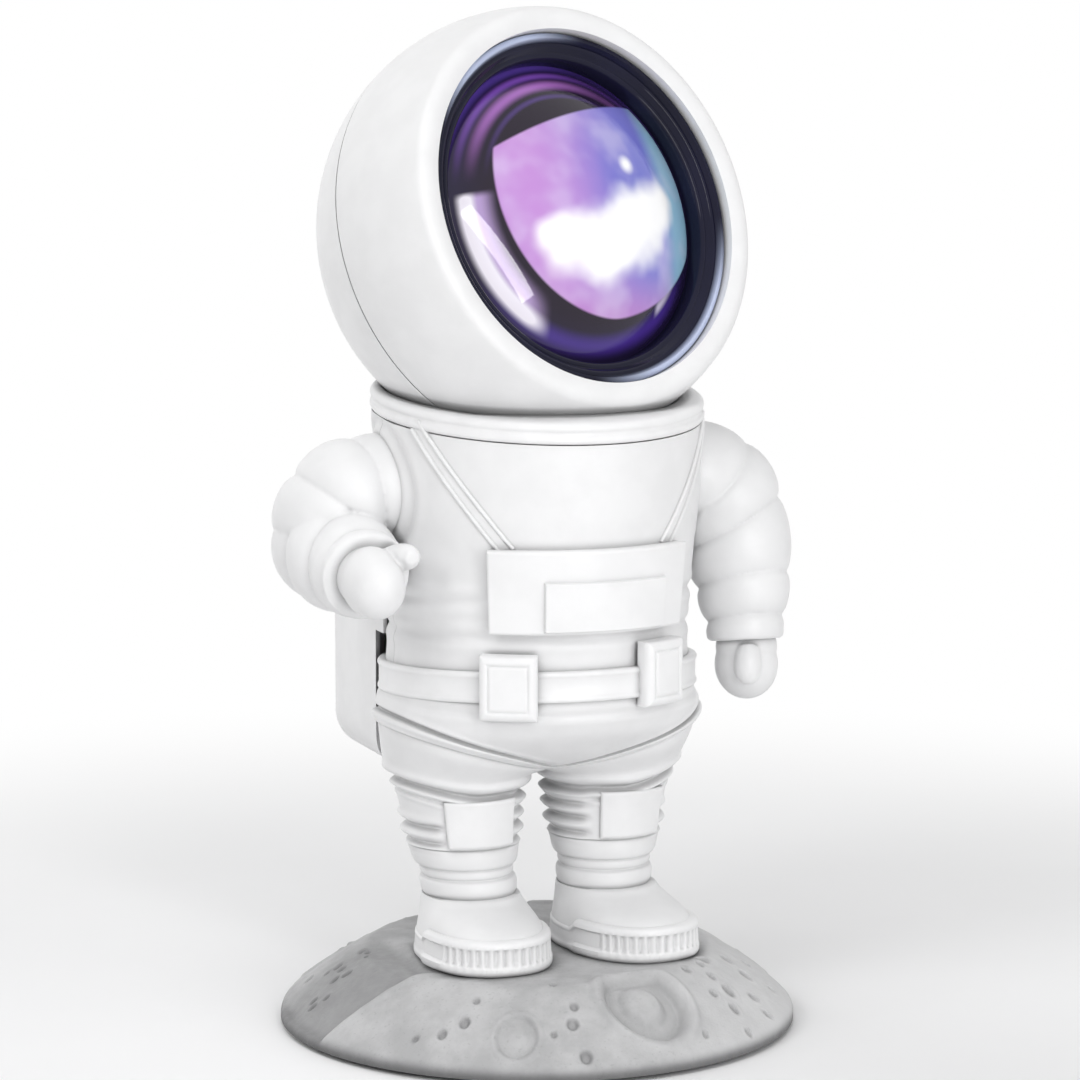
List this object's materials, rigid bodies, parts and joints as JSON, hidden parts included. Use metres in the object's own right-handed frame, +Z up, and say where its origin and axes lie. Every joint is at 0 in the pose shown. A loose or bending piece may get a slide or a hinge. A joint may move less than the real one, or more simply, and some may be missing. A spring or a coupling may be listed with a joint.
{
  "type": "astronaut night light",
  "caption": "Star and nebula projector night light shaped as a standing astronaut on a moon-like dome, with a ball-seated helmet that turns and tilts, and arms that turn.",
  "frame": {"origin": "centre of the underside that it stands on", "axes": "+Z up, the figure faces -Y, and its right side is -X"},
  "size_m": [0.1202, 0.1168, 0.2283],
  "materials": {
    "suit_white": "satin moulded white plastic",
    "trim_white": "satin moulded white plastic, raised trim",
    "moon_grey": "matte painted grey with craters and pits",
    "visor_black": "polished black",
    "visor_coat": "polished lens with a violet and blue coating",
    "clear_glass": "polished clear optic",
    "effect_glass": "rippled tinted disc",
    "inner_plastic": "black moulded plastic",
    "steel": "plain zinc-plated steel",
    "magnet": "nickel-plated magnet",
    "aluminium": "plain aluminium",
    "brass": "plain brass",
    "board_green": "green circuit board",
    "pad_foam": "black foam rubber",
    "button_grey": "pale grey push button",
    "lead_jacket": "black jacket"
  },
  "bodies": {
    "body": {"moon_base": "moon_grey", "base_plate": "inner_plastic", "neck_deck": "inner_plastic", "right_shoulder_bush": "inner_plastic", "left_shoulder_bush": "inner_plastic", "base_ballast": "steel", "base_screws": "steel", "leg_bolts": "steel", "backpack_screws": "steel", "power_inlet": "steel", "anti_slip_pad": "pad_foam", "right_boot": "suit_white", "left_boot": "suit_white", "right_leg": "suit_white", "left_leg": "suit_white", "hip_shell": "suit_white", "torso_front_shell": "suit_white", "torso_rear_shell": "suit_white", "backpack_shell": "suit_white", "backpack_cover": "suit_white", "right_boot_sole": "trim_white", "left_boot_sole": "trim_white", "right_knee_pad": "trim_white", "left_knee_pad": "trim_white", "chest_pack": "trim_white", "harness_straps": "trim_white", "belt": "trim_white", "right_belt_pouch": "trim_white", "left_belt_pouch": "trim_white", "collar_ring": "trim_white", "main_board": "board_green", "neck_cable": "lead_jacket"},
    "neck": {"swivel_cup": "inner_plastic", "neck_magnet": "magnet", "swivel_clip": "steel"},
    "head": {"helmet_front_shell": "suit_white", "helmet_rear_shell": "suit_white", "visor_bezel": "visor_black", "visor_lens": "visor_coat", "magnet_keeper": "steel", "optics_chassis": "inner_plastic", "chassis_screws": "steel", "projection_barrel": "inner_plastic", "projection_lens": "clear_glass", "disc_motor": "steel", "heat_sink": "aluminium", "light_board": "aluminium", "laser_module": "brass", "diffraction_grating": "clear_glass"},
    "effect_wheel": {"effect_disc": "effect_glass", "disc_shaft": "steel"},
    "right_arm": {"right_sleeve": "suit_white", "right_glove": "suit_white", "right_shoulder_bolt": "steel"},
    "left_arm": {"left_sleeve": "suit_white", "left_glove": "suit_white", "left_shoulder_bolt": "steel"},
    "power_key": {"power_button": "button_grey"},
    "star_key": {"star_button": "button_grey"},
    "nebula_key": {"nebula_button": "button_grey"}
  },
  "joints": [
    {"name": "head_pan", "type": "hinge", "parent": "body", "child": "neck", "pos_m": [0, 0, 0.1793], "axis": [0, 0, 1], "range_deg": [-150, 150], "deforming": ["neck_cable"]},
    {"name": "head_tilt", "type": "hinge", "parent": "neck", "child": "head", "pos_m": [0, 0, 0.1793], "axis": [-0.9511, -0.309, 0], "range_deg": [-15, 25], "deforming": ["neck_cable"]},
    {"name": "effect_wheel_turn", "type": "hinge", "parent": "head", "child": "effect_wheel", "pos_m": [0.00162, -0.005, 0.16313], "axis": [0.2939, -0.9045, 0.309], "continuous": true},
    {"name": "right_shoulder", "type": "hinge", "parent": "body", "child": "right_arm", "pos_m": [-0.038, 0.002, 0.123], "axis": [-1, 0, 0], "range_deg": [-60, 75]},
    {"name": "left_shoulder", "type": "hinge", "parent": "body", "child": "left_arm", "pos_m": [0.038, 0.002, 0.123], "axis": [-1, 0, 0], "range_deg": [-45, 110]},
    {"name": "power_press", "type": "slide", "parent": "body", "child": "power_key", "axis": [0, -1, 0], "range_m": [0, 0.0007], "stiffness_N_per_m": 200},
    {"name": "star_press", "type": "slide", "parent": "body", "child": "star_key", "axis": [0, -1, 0], "range_m": [0, 0.0007], "stiffness_N_per_m": 200},
    {"name": "nebula_press", "type": "slide", "parent": "body", "child": "nebula_key", "axis": [0, -1, 0], "range_m": [0, 0.0007], "stiffness_N_per_m": 200}
  ]
}
